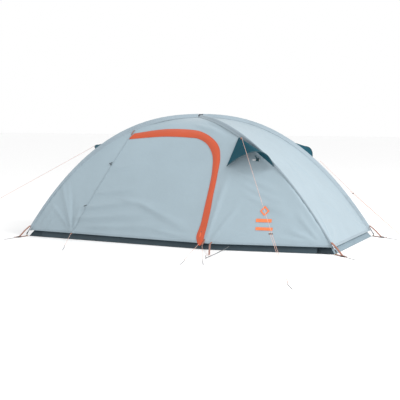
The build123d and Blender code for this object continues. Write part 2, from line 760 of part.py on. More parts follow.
def guyline_route(name):
    """Down to the peg, round it, and back beside itself to the runner."""
    start, hold = [Vector(*p) for p in GUYLINES[name]]
    x, y, _ = PEG_PLACES[f"guy_peg_{name}"]
    stub = Vector(x, y, LOOP_Z)
    ahead = Vector(stub.X - hold.X, stub.Y - hold.Y, 0).normalized()
    aside = Vector(-ahead.Y, ahead.X, 0) * (LOOP_WIDTH / 2)
    turn = stub + ahead * LOOP_BEYOND_PEG
    return [start, hold, turn + aside, turn - aside, hold - aside * 2]


def cord_radii(points, share=0.45):
    """Each arc is as large as its two runs allow, but a guyline is straight near its runner."""
    radii = []
    for a, b, c in zip(points, points[1:], points[2:]):
        before, after = b - a, c - b
        turn = radians(before.get_angle(after))
        reach = share * min(before.length, after.length)
        if len(points) > 3:
            reach = min(reach, LOOP_REACH)
        radii.append(reach / tan(turn / 2))
    return radii


def build_cords():
    routes = {name: [Vector(*p) for p in route] for name, route in ROUTES.items()}
    routes.update({f"guyline_{name}": guyline_route(name) for name in GUYLINES})
    for name, points in routes.items():
        radius = FLOOR_CORD_R if name == "floor_cord" else CORD_R
        radii = cord_radii(points)
        path = FilletPolyline(*points, radius=radii)
        solid = rod(path, radius)
        share = solid.volume / (pi * radius**2 * path.length)
        print(name, f"length {path.length:.0f}", "radii", [round(r, 1) for r in radii], f"volume {share:.3f}")
        save(name, solid)
    for name, (x, y, heading) in PEG_PLACES.items():
        save(name, peg((x, y), heading))


def build_runners():
    """Guyline runners: flat bars with two holes, free to slide along the line."""
    for name in GUYLINES:
        _, hold, foot, _, last = guyline_route(name)
        way = (foot - hold).normalized()
        place = Plane(origin=hold + way * RUNNER_START, x_dir=last - hold, z_dir=way)
        bar = Pos(LOOP_WIDTH / 2, 0, 0) * Box(LOOP_WIDTH + 18, 9, 3.2)
        bar = fillet(bar.edges().filter_by(Axis.Z), 3)
        bores = [Pos(x, 0, 0) * Cylinder(RUNNER_BORE_R, 10) for x in (0, LOOP_WIDTH)]
        save(f"runner_{name}", place * (bar - bores[0] - bores[1]))
        report(f"runner_{name}", axis=way)


def main():
    os.makedirs("parts", exist_ok=True)
    build_poles()
    build_fly()
    build_slider()
    build_vents()
    build_toggles()
    build_inner()
    build_floor()
    build_corners()
    build_cords()
    build_runners()
    seam_low = Vector(SEAM_FOOT[0], surface_y(front, *SEAM_FOOT, FLY_INSET), SEAM_FOOT[1])
    seam_high = Vector(SEAM_HEAD[0], surface_y(front, *SEAM_HEAD, FLY_INSET), SEAM_HEAD[1])
    hinge = seam_low - Vector(0, SEAM_AXIS_OUT, 0)
    report("door_swing", pos=hinge, axis=(seam_high - seam_low).normalized())


main()
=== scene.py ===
"""Looks of a low trekking tent: cloth, seams, hoods, flap, cords, light and camera.

Metres. +Z is up, +X runs along the tent, and the door is on the -Y side.
The formulas for the tent's shape are those of the CAD part.
"""

import bisect
import json
import math

import bmesh
import bpy
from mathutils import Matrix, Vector, geometry, kdtree, noise


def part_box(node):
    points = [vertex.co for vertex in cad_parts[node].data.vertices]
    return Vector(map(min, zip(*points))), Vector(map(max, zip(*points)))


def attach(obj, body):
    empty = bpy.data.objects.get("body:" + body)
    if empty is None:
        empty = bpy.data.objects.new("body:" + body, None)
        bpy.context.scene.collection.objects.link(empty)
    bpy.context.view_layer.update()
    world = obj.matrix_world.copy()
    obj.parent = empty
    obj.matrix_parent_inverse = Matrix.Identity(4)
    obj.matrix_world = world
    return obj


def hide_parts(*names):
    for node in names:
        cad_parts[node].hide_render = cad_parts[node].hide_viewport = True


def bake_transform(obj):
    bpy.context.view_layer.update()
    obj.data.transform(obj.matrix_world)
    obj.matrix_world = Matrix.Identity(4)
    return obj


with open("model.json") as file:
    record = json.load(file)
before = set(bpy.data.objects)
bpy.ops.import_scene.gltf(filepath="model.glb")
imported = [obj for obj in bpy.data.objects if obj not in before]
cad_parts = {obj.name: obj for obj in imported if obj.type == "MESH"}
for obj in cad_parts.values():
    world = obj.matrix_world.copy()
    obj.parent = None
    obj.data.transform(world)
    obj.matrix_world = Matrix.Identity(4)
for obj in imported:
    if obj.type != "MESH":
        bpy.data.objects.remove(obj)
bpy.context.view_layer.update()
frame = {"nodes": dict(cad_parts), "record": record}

# ---- shape of the tent ---------------------------------------------------------------------
LENGTH, WIDTH, HEIGHT = 2.6, 1.11, 0.965
PLAN_BOW = 0.45
PROFILE_POWER = 2.06
PROFILE_FULLNESS = 0.98
FLY_SAG = 0.025
HEM_Z = 0.05
PORCH_DEPTH = 0.15
PORCH_TOP_Z = 0.62
PORCH_FOLD_LOW_X, PORCH_FOLD_HIGH_X = 0.36, 0.42
PORCH_FOLD_R = 0.04
PORCH_END_X = 1.265
POLE_R = 0.00425
POLE_LIFT = 0.0095  # the second pole passes over the first by this much
FLY_INSET = 0.011
INNER_INSET = 0.046
SEAM_FOOT = (-0.848, HEM_Z)
SEAM_HEAD = (-0.430, 0.812)
ZIP_SIDE = (0.322, 0.640)
ZIP_FOOT = (0.292, HEM_Z)
DOOR_EDGE = [  # the zip's line from the seam head to the hem, as X and Z
    SEAM_HEAD, (-0.36, 0.826), (-0.27, 0.838), (-0.17, 0.843), (-0.08, 0.845), (0.0, 0.843),
    (0.08, 0.838), (0.15, 0.826), (0.21, 0.806), (0.262, 0.772), (0.296, 0.73), (0.315, 0.686), ZIP_SIDE,
]


def leg(t):
    """Distances from the centre of a point on a pole: t is 0 at the crossing and 1 at a foot."""
    x = LENGTH / 2 * t
    y = WIDTH / 2 * t * (1 + PLAN_BOW) / (t + PLAN_BOW)
    z = HEIGHT * (1 - min(t, 1.0) ** PROFILE_POWER) ** PROFILE_FULLNESS
    return x, y, z


def share_at(z):
    """The t of the point on a pole at height z."""
    return (1 - (z / HEIGHT) ** (1 / PROFILE_FULLNESS)) ** (1 / PROFILE_POWER)


def porch(x, z):
    """How far the front of the fly is pulled forward at x and z."""
    rise = (z - HEM_Z) / (PORCH_TOP_Z - HEM_Z)
    fade = (1 - rise + math.sqrt((1 - rise) ** 2 + 0.05**2)) / 2
    fold_x = PORCH_FOLD_LOW_X + (PORCH_FOLD_HIGH_X - PORCH_FOLD_LOW_X) * rise
    away = x - fold_x
    reach = PORCH_END_X + fold_x if away < 0 else PORCH_END_X - fold_x
    slope = (math.sqrt(away**2 + PORCH_FOLD_R**2) - PORCH_FOLD_R) / reach
    return PORCH_DEPTH * fade * max(0.0, 1 - slope)


def smooth(value):
    value = min(1.0, max(0.0, value))
    return value * value * (3 - 2 * value)


ARC_STEPS = 600


def arc_table(use_x):
    """Distances down a side from the crossing, at even steps of t."""
    run, last = [0.0], None
    for i in range(ARC_STEPS + 1):
        x, y, z = leg(i / ARC_STEPS)
        here = Vector((x if use_x else y, z))
        if last is not None:
            run.append(run[-1] + (here - last).length)
        last = here
    return run


ARCS = {True: arc_table(True), False: arc_table(False)}


class Side:
    """One side of the tent between two poles: p runs across it and s down it from the top."""

    def __init__(self, name, sign, is_end, has_porch=False):
        self.name, self.sign, self.is_end, self.has_porch = name, sign, is_end, has_porch
        self.arc = ARCS[is_end]

    def s_at(self, t):
        place = t * ARC_STEPS
        i = min(int(place), ARC_STEPS - 1)
        return self.arc[i] + (self.arc[i + 1] - self.arc[i]) * (place - i)

    def t_at(self, s):
        i = min(max(bisect.bisect(self.arc, s) - 1, 0), ARC_STEPS - 1)
        return (i + (s - self.arc[i]) / (self.arc[i + 1] - self.arc[i])) / ARC_STEPS

    def half(self, t):
        return leg(t)[1 if self.is_end else 0]

    def raw(self, p, t):
        x, y, z = leg(t)
        u = p / max(self.half(t), 1e-6)
        dip = FLY_SAG * max(0.0, 1 - u * u) * math.sin(math.pi * t)
        if self.is_end:
            return Vector((self.sign * (x - dip), p, z))
        pull = porch(p, z) if self.has_porch else 0.0
        return Vector((p, self.sign * (y - dip + pull), z))

    def normal(self, p, t):
        step = 1e-4
        t = min(t, 1 - 2 * step)
        across = self.raw(p + step, t) - self.raw(p - step, t)
        down = self.raw(p, t + step) - self.raw(p, max(t - step, 1e-5))
        n = across.cross(down).normalized()
        outward = self.raw(p, t) - Vector((0, 0, HEIGHT / 3))
        return n if n.dot(outward) > 0 else -n


FRONT = Side("front", -1, False, has_porch=True)
BACK = Side("back", 1, False)
LEFT = Side("left", -1, True)
RIGHT = Side("right", 1, True)
INNER_FRONT = Side("inner_front", -1, False)


def pole_frame(t, x_sign, y_sign):
    """At a point on a leg: the ways to the two panels beside it, and the way out."""
    step = 1e-3
    ends = [Vector(leg(t + k)) for k in (-step, step)]
    for e in ends:
        e.x *= x_sign
        e.y *= y_sign
    tangent = (ends[1] - ends[0]).normalized()
    ways = []
    for way in (Vector((-x_sign, 0, 0)), Vector((0, -y_sign, 0))):
        ways.append((way - tangent * way.dot(tangent)).normalized())
    out = -(ways[0] + ways[1]).normalized()
    return tangent, ways[0], ways[1], out


def cloth_point(side, p, s, inset, under, reach, folds=()):
    """A point on a cloth: inset from the pole surface, and drawn to the seams under the poles."""
    t = min(side.t_at(s), 0.9995)
    half = side.half(t)
    p = min(max(p, -half), half)
    base, n = side.raw(p, t), side.normal(p, t)
    edge = half - abs(p)
    calm = smooth(edge / (reach * 3))
    drop = inset - calm * fold_height(folds, side, p, base.z)
    point = base - n * drop
    if edge < reach:
        across = 1 if p > 0 else -1
        x_sign, y_sign = (side.sign, across) if side.is_end else (across, side.sign)
        x, y, z = leg(t)
        seam = Vector((x_sign * x, y_sign * y, z)) - pole_frame(t, x_sign, y_sign)[3] * under
        point = point.lerp(seam, smooth(1 - edge / reach))
    return point


# Folds in the cloth: from X, Z to X, Z, half width and height.
FRONT_FOLDS = [
    (-0.850, 0.060, -0.985, 0.460, 0.016, 0.0119),
    (-0.850, 0.060, -0.925, 0.440, 0.013, 0.0078),
    (-0.850, 0.060, -1.060, 0.270, 0.014, 0.0092),
    (-0.850, 0.060, -0.870, 0.360, 0.012, -0.0065),
    (-0.845, 0.060, -0.780, 0.300, 0.013, 0.0069),
    (-1.160, 0.090, -1.020, 0.250, 0.014, 0.0080),
    (-1.100, 0.060, -1.030, 0.170, 0.012, 0.0058),
    (-0.780, 0.250, -0.290, 0.330, 0.024, 0.0138),
    (-0.800, 0.170, -0.180, 0.235, 0.028, 0.0142),
    (-0.700, 0.110, -0.020, 0.150, 0.022, 0.0105),
    (-0.640, 0.370, -0.300, 0.425, 0.026, 0.0092),
    (-0.420, 0.330, 0.020, 0.260, 0.030, 0.0088),
    (-0.240, 0.300, 0.230, 0.120, 0.030, 0.0111),
    (-0.100, 0.120, 0.240, 0.075, 0.018, 0.0078),
    (-0.560, 0.560, -0.120, 0.640, 0.034, 0.0059),
    (0.300, 0.090, 0.330, 0.420, 0.016, -0.0069),
    (0.345, 0.070, 0.440, 0.560, 0.020, 0.0096),
    (0.380, 0.060, 0.560, 0.330, 0.018, 0.0078),
    (0.400, 0.060, 0.740, 0.200, 0.020, 0.0073),
    (0.520, 0.560, 0.860, 0.420, 0.024, 0.0069),
    (0.560, 0.480, 0.900, 0.340, 0.022, 0.0059),
    (0.600, 0.400, 0.960, 0.260, 0.026, 0.0059),
    (1.140, 0.090, 0.930, 0.170, 0.018, 0.0078),
    (1.160, 0.100, 0.980, 0.300, 0.018, 0.0069),
    (1.150, 0.080, 0.860, 0.100, 0.016, 0.0065),
    (0.090, 0.905, 0.330, 0.850, 0.016, 0.0078),
    (0.160, 0.930, 0.420, 0.830, 0.014, -0.0069),
    (-0.090, 0.915, -0.400, 0.870, 0.018, 0.0069),
]
END_FOLDS = [  # from Y, Z to Y, Z
    (-0.480, 0.09, -0.330, 0.30, 0.016, 0.0061),
    (-0.500, 0.08, -0.250, 0.16, 0.018, 0.0058),
    (0.480, 0.09, 0.330, 0.30, 0.016, 0.0061),
    (0.500, 0.08, 0.250, 0.16, 0.018, 0.0058),
    (-0.060, 0.62, -0.200, 0.40, 0.028, 0.0041),
    (0.040, 0.66, 0.180, 0.42, 0.030, 0.0041),
    (-0.120, 0.34, 0.160, 0.22, 0.034, 0.0037),
]
BACK_FOLDS = [(x0, z0, x1, z1, w, h) for x0, z0, x1, z1, w, h in FRONT_FOLDS if abs(x0) > 0.84]
BACK_FOLDS += [
    (-0.600, 0.080, -0.200, 0.300, 0.024, 0.0068),
    (0.520, 0.080, 0.180, 0.320, 0.024, 0.0068),
    (-0.250, 0.080, 0.120, 0.200, 0.026, 0.0058),
]
NOISE_LAYERS = ((3.0, 0.0024), (8.0, 0.0011), (21.0, 0.0004))


def fold_height(folds, side, p, z):
    """How far the cloth stands proud at a place."""
    total = 0.0
    seed = {"front": 0.0, "back": 7.0, "left": 13.0, "right": 19.0}.get(side.name, 29.0)
    for frequency, size in NOISE_LAYERS:
        total += size * noise.noise(Vector((p * frequency, z * frequency * 1.4, seed)))
    here = Vector((p, z))
    for x0, z0, x1, z1, width, height in folds:
        a, b = Vector((x0, z0)), Vector((x1, z1))
        run = b - a
        along = (here - a).dot(run) / run.length_squared
        if not -0.15 < along < 1.15:
            continue
        aside = abs((here - a).cross(run)) / run.length
        if aside > 3 * width:
            continue
        spread = width * (0.45 + 0.9 * min(max(along, 0.0), 1.0))
        ends = smooth((along + 0.15) / 0.3) * smooth((1.15 - along) / 0.55)
        total += height * ends * math.exp(-((aside / spread) ** 2))
    return total


# ---- mesh helpers --------------------------------------------------------------------------
def new_object(name, verts, faces, material, is_smooth=True):
    mesh = bpy.data.meshes.new(name)
    mesh.from_pydata([tuple(v) for v in verts], [], faces)
    mesh.validate()
    if is_smooth:
        mesh.polygons.foreach_set("use_smooth", [True] * len(mesh.polygons))
    mesh.materials.append(material)
    obj = bpy.data.objects.new(name, mesh)
    bpy.context.scene.collection.objects.link(obj)
    return obj


def weld(obj, distance=1e-5):
    """Joins points of a mesh that lie on each other, and turns its faces outward."""
    bm = bmesh.new()
    bm.from_mesh(obj.data)
    bmesh.ops.remove_doubles(bm, verts=bm.verts, dist=distance)
    bmesh.ops.recalc_face_normals(bm, faces=bm.faces)
    bm.to_mesh(obj.data)
    bm.free()


def grid_object(name, rows, material, closed=False):
    """A mesh from rows of points, each row as long as the others."""
    count = len(rows[0])
    verts = [p for row in rows for p in row]
    faces = []
    for i in range(len(rows) - 1):
        for j in range(count if closed else count - 1):
            k = (j + 1) % count
            faces.append((i * count + j, i * count + k, (i + 1) * count + k, (i + 1) * count + j))
    return new_object(name, verts, faces, material)


def densify(points, step):
    """The same line with points no further apart than step."""
    out = []
    for a, b in zip(points, points[1:]):
        a, b = Vector(a), Vector(b)
        parts = max(1, math.ceil((b - a).length / step))
        out += [a.lerp(b, i / parts) for i in range(parts)]
    out.append(Vector(points[-1]))
    return out


def curve_through(points, count):
    """Points spaced evenly on a smooth curve through the given ones."""
    points = [Vector(p) for p in points]
    fine = []
    for i in range(len(points) - 1):
        before = points[max(i - 1, 0)]
        after = points[min(i + 2, len(points) - 1)]
        a, b = points[i], points[i + 1]
        for k in range(16):
            t = k / 16
            fine.append(
                0.5 * ((2 * a) + (b - before) * t + (2 * before - 5 * a + 4 * b - after) * t * t
                       + (3 * a - before - 3 * b + after) * t**3)
            )
    fine.append(points[-1])
    run = [0.0]
    for a, b in zip(fine, fine[1:]):
        run.append(run[-1] + (b - a).length)
    out = []
    for k in range(count):
        wanted = run[-1] * k / (count - 1)
        i = min(max(bisect.bisect(run, wanted) - 1, 0), len(fine) - 2)
        span = run[i + 1] - run[i]
        out.append(fine[i].lerp(fine[i + 1], (wanted - run[i]) / span if span else 0))
    return out


def turning_left(loop):
    """The loop's points, in the order that keeps its inside on the left."""
    area = sum(a.cross(b) for a, b in zip(loop, loop[1:] + loop[:1]))
    return loop if area > 0 else loop[::-1]


def region(outline, holes, spacing):
    """Triangles that fill an outline, and those that fill each hole in it."""
    verts, loops = [], []
    for loop in [outline, *holes]:
        loops.append(list(range(len(verts), len(verts) + len(loop))))
        verts += turning_left([Vector(p) for p in loop])
    tree = kdtree.KDTree(len(verts))
    for i, v in enumerate(verts):
        tree.insert((v.x, v.y, 0), i)
    tree.balance()
    low = Vector((min(v.x for v in verts), min(v.y for v in verts)))
    high = Vector((max(v.x for v in verts), max(v.y for v in verts)))
    rows = int((high.y - low.y) / (spacing * 0.87)) + 1
    columns = int((high.x - low.x) / spacing) + 1
    for i in range(rows):
        for j in range(columns):
            x = low.x + (j + 0.5 * (i % 2)) * spacing
            y = low.y + i * spacing * 0.87
            if tree.find((x, y, 0))[2] > spacing * 0.55:
                verts.append(Vector((x, y)))
    result = geometry.delaunay_2d_cdt(verts, [], loops, 1, 1e-7)
    points, faces, sources = result[0], result[2], result[5]
    fills = [[] for _ in loops]
    for face, source in zip(faces, sources):
        owners = [k for k in source if k > 0]
        fills[owners[0] if owners else 0].append(face)
    return points, fills


def mapped(name, side, points, faces, material, inset, under, reach, folds=()):
    """A cloth object from flat triangles on one side of the tent."""
    used = sorted({i for face in faces for i in face})
    place = {i: k for k, i in enumerate(used)}
    verts = [cloth_point(side, points[i].x, points[i].y, inset, under, reach, folds) for i in used]
    return new_object(name, verts, [[place[i] for i in face] for face in faces], material)


def join(name, objects):
    """Several meshes as one."""
    verts, faces, count = [], [], 0
    for obj in objects:
        verts += [v.co.copy() for v in obj.data.vertices]
        faces += [[i + count for i in face.vertices] for face in obj.data.polygons]
        count = len(verts)
    material = objects[0].data.materials[0]
    for obj in objects:
        bpy.data.objects.remove(obj)
    return new_object(name, verts, faces, material)


# ---- materials -----------------------------------------------------------------------------
def shader(name, colour, rough, metallic=0.0, sheen=0.0, coat=0.0):
    material = bpy.data.materials.new(name)
    material.use_nodes = True
    node = material.node_tree.nodes["Principled BSDF"]
    node.inputs["Base Color"].default_value = (*colour, 1)
    node.inputs["Roughness"].default_value = rough
    node.inputs["Metallic"].default_value = metallic
    node.inputs["Sheen Weight"].default_value = sheen
    node.inputs["Coat Weight"].default_value = coat
    return material, node


def object_coordinates(tree):
    return tree.nodes.new("ShaderNodeTexCoord").outputs["Object"]


def noise_texture(tree, scale, detail=3.0):
    node = tree.nodes.new("ShaderNodeTexNoise")
    node.inputs["Scale"].default_value = scale
    node.inputs["Detail"].default_value = detail
    tree.links.new(object_coordinates(tree), node.inputs["Vector"])
    return node.outputs["Fac"]


def wave_texture(tree, scale, direction, distortion=0.0):
    node = tree.nodes.new("ShaderNodeTexWave")
    node.bands_direction = direction
    node.inputs["Scale"].default_value = scale
    node.inputs["Distortion"].default_value = distortion
    tree.links.new(object_coordinates(tree), node.inputs["Vector"])
    return node.outputs["Fac"]


def mixed_colour(tree, factor, low, high, target):
    """The colour runs between two others as the factor says."""
    ramp = tree.nodes.new("ShaderNodeValToRGB")
    ramp.color_ramp.elements[0].position = 0.3
    ramp.color_ramp.elements[1].position = 0.7
    ramp.color_ramp.elements[0].color = (*low, 1)
    ramp.color_ramp.elements[1].color = (*high, 1)
    tree.links.new(factor, ramp.inputs["Fac"])
    tree.links.new(ramp.outputs["Color"], target)


def ranged(tree, value, low, high, target):
    node = tree.nodes.new("ShaderNodeMapRange")
    node.inputs["To Min"].default_value = low
    node.inputs["To Max"].default_value = high
    tree.links.new(value, node.inputs["Value"])
    tree.links.new(node.outputs["Result"], target)


def bump(tree, node, height, strength, distance, below=None):
    made = tree.nodes.new("ShaderNodeBump")
    made.inputs["Strength"].default_value = strength
    made.inputs["Distance"].default_value = distance
    tree.links.new(height, made.inputs["Height"])
    if below:
        tree.links.new(below.outputs["Normal"], made.inputs["Normal"])
    tree.links.new(made.outputs["Normal"], node.inputs["Normal"])
    return made


def summed(tree, a, b):
    node = tree.nodes.new("ShaderNodeMath")
    node.operation = "ADD"
    tree.links.new(a, node.inputs[0])
    tree.links.new(b, node.inputs[1])
    return node.outputs["Value"]


def shade(colour, factor):
    return tuple(min(1.0, c * factor) for c in colour)


def cloth(
    name, colour, rough=0.6, sheen=0.15, weave=900.0, spread=0.05, crinkle=0.5, weave_bump=0.25, gloss=0.5
):
    """Woven cloth: threads both ways, fine crinkles, and a slight change of tone."""
    material, node = shader(name, colour, rough, sheen=sheen)
    node.inputs["Specular IOR Level"].default_value = gloss
    tree = material.node_tree
    tone = noise_texture(tree, 5.0, 4.0)
    low, high = shade(colour, 1 - spread), shade(colour, 1 + spread)
    mixed_colour(tree, tone, low, high, node.inputs["Base Color"])
    ranged(tree, noise_texture(tree, 30.0), rough - 0.08, rough + 0.08, node.inputs["Roughness"])
    threads = summed(tree, wave_texture(tree, weave, "X"), wave_texture(tree, weave, "Z"))
    fine = bump(tree, node, threads, weave_bump, 0.00012)
    bump(tree, node, noise_texture(tree, 42.0, 5.0), crinkle, 0.0016, fine)
    return material


def webbing(name, colour):
    """Flat woven tape with a raised rib."""
    material, node = shader(name, colour, 0.7, sheen=0.3)
    tree = material.node_tree
    low, high = shade(colour, 0.75), shade(colour, 1.15)
    mixed_colour(tree, noise_texture(tree, 160.0), low, high, node.inputs["Base Color"])
    ribs = summed(tree, wave_texture(tree, 320.0, "DIAGONAL"), wave_texture(tree, 500.0, "X"))
    bump(tree, node, ribs, 0.6, 0.0004)
    return material


def braid(name, colour):
    """Braided cord: two sets of strands with flecks of a second colour."""
    material, node = shader(name, colour, 0.75, sheen=0.3)
    tree = material.node_tree
    strands = wave_texture(tree, 130.0, "DIAGONAL", 2.0)
    mixed_colour(tree, strands, shade(colour, 0.62), colour, node.inputs["Base Color"])
    bump(tree, node, wave_texture(tree, 420.0, "DIAGONAL", 1.5), 0.7, 0.0005)
    return material


def netting(name, colour):
    """Fine insect mesh."""
    material, node = shader(name, colour, 0.8)
    tree = material.node_tree
    holes = tree.nodes.new("ShaderNodeTexVoronoi")
    holes.inputs["Scale"].default_value = 620.0
    tree.links.new(object_coordinates(tree), holes.inputs["Vector"])
    low, high = shade(colour, 1.7), shade(colour, 0.35)
    mixed_colour(tree, holes.outputs["Distance"], low, high, node.inputs["Base Color"])
    bump(tree, node, holes.outputs["Distance"], 0.7, 0.0004)
    return material


def metal(name, colour, rough, drawn=True):
    """Drawn or anodised metal with fine lines and small changes in gloss."""
    material, node = shader(name, colour, rough, metallic=1.0)
    tree = material.node_tree
    low, high = shade(colour, 0.86), shade(colour, 1.08)
    mixed_colour(tree, noise_texture(tree, 90.0), low, high, node.inputs["Base Color"])
    ranged(tree, noise_texture(tree, 240.0), rough - 0.08, rough + 0.12, node.inputs["Roughness"])
    if drawn:
        bump(tree, node, noise_texture(tree, 900.0), 0.15, 0.0002)
    return material


def plastic(name, colour, rough):
    """Moulded plastic with a fine satin grain."""
    material, node = shader(name, colour, rough)
    tree = material.node_tree
    low, high = shade(colour, 0.9), shade(colour, 1.1)
    mixed_colour(tree, noise_texture(tree, 70.0), low, high, node.inputs["Base Color"])
    ranged(tree, noise_texture(tree, 300.0), rough - 0.06, rough + 0.1, node.inputs["Roughness"])
    bump(tree, node, noise_texture(tree, 1100.0), 0.2, 0.0002)
    return material


FLY_COLOUR = (0.300, 0.383, 0.432)
MATERIALS = {
    "fly_cloth": cloth("fly_cloth", FLY_COLOUR, rough=0.52, spread=0.025),
    "sleeve_cloth": cloth("sleeve_cloth", (0.272, 0.340, 0.385), rough=0.58, spread=0.05, crinkle=0.8),
    "binding": cloth("binding", (0.262, 0.335, 0.380), rough=0.6, spread=0.06, weave_bump=0.6),
    "flap_cloth": cloth("flap_cloth", (0.50, 0.070, 0.018), rough=0.5, spread=0.06, crinkle=0.9),
    "hood_cloth": cloth(
        "hood_cloth", (0.003, 0.062, 0.092), rough=0.66, sheen=0.0, spread=0.10, crinkle=0.7, gloss=0.2
    ),
    "floor_cloth": cloth(
        "floor_cloth", (0.022, 0.046, 0.062), rough=0.5, sheen=0.05, spread=0.12, crinkle=1.0
    ),
    # painted light: a lighter copy of the floor cloth, for the floor's end walls, standing in for side
    # light falling on them
    "end_wall_painted_light": cloth("end_wall_painted_light", (0.17, 0.25, 0.30), rough=0.5, spread=0.08, crinkle=1.0),
    "inner_cloth": cloth("inner_cloth", (0.66, 0.69, 0.70), rough=0.75, spread=0.04, crinkle=0.9),
    "mesh": netting("mesh", (0.10, 0.115, 0.125)),
    "pole_alloy": metal("pole_alloy", (0.36, 0.38, 0.42), 0.32),
    "ferrule_alloy": metal("ferrule_alloy", (0.60, 0.61, 0.62), 0.28),
    "elastic": braid("elastic", (0.05, 0.05, 0.055)),
    "tip_plastic": plastic("tip_plastic", (0.03, 0.03, 0.033), 0.45),
    "zip_tape": webbing("zip_tape", (0.06, 0.07, 0.08)),
    "slider_metal": metal("slider_metal", (0.12, 0.12, 0.13), 0.35),
    "pull_plastic": plastic("pull_plastic", (0.68, 0.13, 0.04), 0.35),
    "brim_stiffener": webbing("brim_stiffener", (0.010, 0.060, 0.080)),
    "prop_plastic": plastic("prop_plastic", (0.02, 0.075, 0.095), 0.42),
    "toggle_plastic": plastic("toggle_plastic", (0.08, 0.10, 0.11), 0.45),
    "webbing": webbing("webbing", (0.30, 0.105, 0.060)),
    "buckle_plastic": plastic("buckle_plastic", (0.022, 0.024, 0.028), 0.42),
    "grommet_brass": metal("grommet_brass", (0.62, 0.48, 0.24), 0.30),
    "peg_steel": metal("peg_steel", (0.46, 0.44, 0.44), 0.34),
    "guyline": braid("guyline", (0.84, 0.50, 0.40)),
    "black_cord": braid("black_cord", (0.028, 0.034, 0.042)),
    "tab_white": webbing("tab_white", (0.72, 0.74, 0.76)),
    "runner_plastic": plastic("runner_plastic", (0.10, 0.065, 0.055), 0.4),
    "print_orange": plastic("print_orange", (0.82, 0.20, 0.07), 0.6),
}

for part in frame["record"]["subparts"]:
    node = frame["nodes"][part["node"]]
    node.data.materials.clear()
    node.data.materials.append(MATERIALS[part["material_slot"]])


def place(obj, body, slot, *nodes):
    """A finished piece: the body it rides on, its material slot (not used), and what it stands for."""
    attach(obj, body)
    if nodes:
        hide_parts(*nodes)
    return obj


# ---- fly -----------------------------------------------------------------------------------
GRID = 0.014
TOP_T = 0.012
HEM_T = share_at(HEM_Z)
SEAM_UNDER = 0.0065  # cloth seams lie this far under a pole's axis
SEAM_REACH = 0.020
EDGE_COUNT = 110
FRONT_WINDOW = [(0.515, 0.775), (0.484, 0.712), (0.668, 0.712)]
END_WINDOW = [(0.0, 0.790), (-0.150, 0.680), (0.150, 0.680)]


def leg_line(side, sign, low_t, high_t):
    """The edge of a side along a pole, from the top down."""
    out = []
    for k in range(EDGE_COUNT + 1):
        t = low_t + (high_t - low_t) * k / EDGE_COUNT
        out.append(Vector((sign * side.half(t), side.s_at(t))))
    return out


def flat(side, line):
    """Places given across and up, as p and s."""
    return [Vector((p, side.s_at(share_at(z)))) for p, z in line]


def whole_outline(side, low_t, high_t):
    left, right = leg_line(side, -1, low_t, high_t), leg_line(side, 1, low_t, high_t)
    hem = densify([left[-1], right[-1]], GRID)
    top = densify([right[0], left[0]], GRID)
    return left + hem[1:-1] + right[::-1] + top[1:-1]


def door_line(shift=0.0):
    """The door's edge from the foot of its seam, over the top and down to the foot of its zip."""
    top = curve_through([(x, z, 0) for x, z in DOOR_EDGE], 90)
    line = [(SEAM_FOOT[0] + shift, HEM_Z)] + [(v.x, v.y) for v in top] + [ZIP_FOOT]
    middle = (-0.2, 0.4)
    pulled = []
    for x, z in line:
        way = Vector((middle[0] - x, middle[1] - z)).normalized() * shift
        pulled.append((x + way.x, z + (way.y if z > HEM_Z else 0)))
    return densify(flat(FRONT, pulled), GRID)


def closed_line(side, corners):
    return densify(flat(side, corners + corners[:1]), GRID)[:-1]


def build_fly():
    cloth_material = MATERIALS["fly_cloth"]
    fit = (FLY_INSET, SEAM_UNDER, SEAM_REACH)
    left, right = leg_line(FRONT, -1, TOP_T, HEM_T), leg_line(FRONT, 1, TOP_T, HEM_T)
    door = door_line()
    hem_left = densify([left[-1], door[0]], GRID)
    hem_right = densify([door[-1], right[-1]], GRID)
    top = densify([right[0], left[0]], GRID)
    outline = left + hem_left[1:] + door[1:] + hem_right[1:-1] + right[::-1] + top[1:-1]
    points, fills = region(outline, [closed_line(FRONT, FRONT_WINDOW)], GRID)
    pieces = [mapped("front", FRONT, points, fills[0], cloth_material, *fit, FRONT_FOLDS)]
    nets = [mapped("net_front", FRONT, points, fills[1], MATERIALS["mesh"], *fit)]
    jobs = [
        (BACK, FRONT_WINDOW, BACK_FOLDS),
        (LEFT, END_WINDOW, END_FOLDS),
        (RIGHT, None, END_FOLDS),
    ]
    for side, window, folds in jobs:
        holes = [closed_line(side, window)] if window else []
        points, fills = region(whole_outline(side, TOP_T, HEM_T), holes, GRID)
        pieces.append(mapped(side.name, side, points, fills[0], cloth_material, *fit, folds))
        if window:
            nets.append(mapped("net_" + side.name, side, points, fills[1], MATERIALS["mesh"], *fit))
    corners = [
        cloth_point(FRONT, sign * FRONT.half(TOP_T), FRONT.s_at(TOP_T), *fit) for sign in (-1, 1)
    ]
    corners += [Vector((c.x, -c.y, c.z)) for c in reversed(corners)]
    pieces.append(new_object("cap", corners, [(0, 1, 2, 3)], cloth_material))
    canopy = join("fly_canopy", pieces)
    weld(canopy)
    place(canopy, "tent", "fly_cloth", "fly_front_left", "fly_front_top", "fly_front_right", "fly_back",
          "fly_end_left", "fly_end_right", "fly_crown")
    for net in nets:
        place(net, "tent", "mesh", "vent_meshes")
    return canopy


def seam_blend(obj):
    """Bakes the piece's placement into its mesh."""
    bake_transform(obj)


def build_door():
    line = door_line(0.0012)
    outline = line + densify([line[-1], line[0]], GRID)[1:-1]
    points, fills = region(outline, [], GRID)
    door = mapped("door_cloth", FRONT, points, fills[0], MATERIALS["fly_cloth"], FLY_INSET, SEAM_UNDER,
                  SEAM_REACH, FRONT_FOLDS)
    weld(door)
    seam_blend(door)
    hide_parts("fly_door")


def surface_point(side, p, z, proud, folds=()):
    """A point on the outside of the fly, standing proud of it."""
    s = side.s_at(share_at(z))
    return cloth_point(side, p, s, FLY_INSET - proud, SEAM_UNDER, SEAM_REACH, folds)


